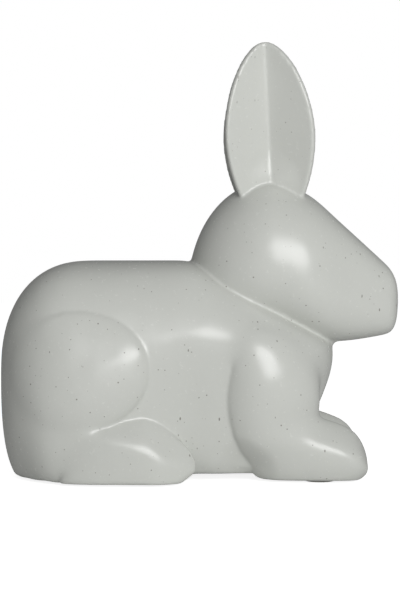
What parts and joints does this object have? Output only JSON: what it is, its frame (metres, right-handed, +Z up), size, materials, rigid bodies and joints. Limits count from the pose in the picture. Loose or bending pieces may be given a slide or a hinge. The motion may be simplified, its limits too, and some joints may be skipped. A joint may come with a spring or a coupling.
{
  "type": "rabbit figurine",
  "caption": "Crouching rabbit figurine in speckled off-white stoneware with a satin glaze, upright folded ears and felt dots under it",
  "frame": {"origin": "on the ground under the middle of the figure's bounding box", "axes": "+X runs from the rump to the nose, +Y to the rabbit's left, +Z up"},
  "size_m": [0.1778, 0.091, 0.1929],
  "materials": {
    "stoneware": "satin glaze with fine dark iron specks",
    "felt": "pressed grey felt"
  },
  "bodies": {
    "root": {"trunk_shell": "stoneware", "head_shell": "stoneware", "ear_left": "stoneware", "ear_right": "stoneware", "foreleg_left": "stoneware", "foreleg_right": "stoneware", "thigh_left": "stoneware", "thigh_right": "stoneware", "hind_foot_left": "stoneware", "hind_foot_right": "stoneware", "seat_felt_left": "felt", "seat_felt_right": "felt", "paw_felt_left": "felt", "paw_felt_right": "felt"}
  },
  "joints": []
}
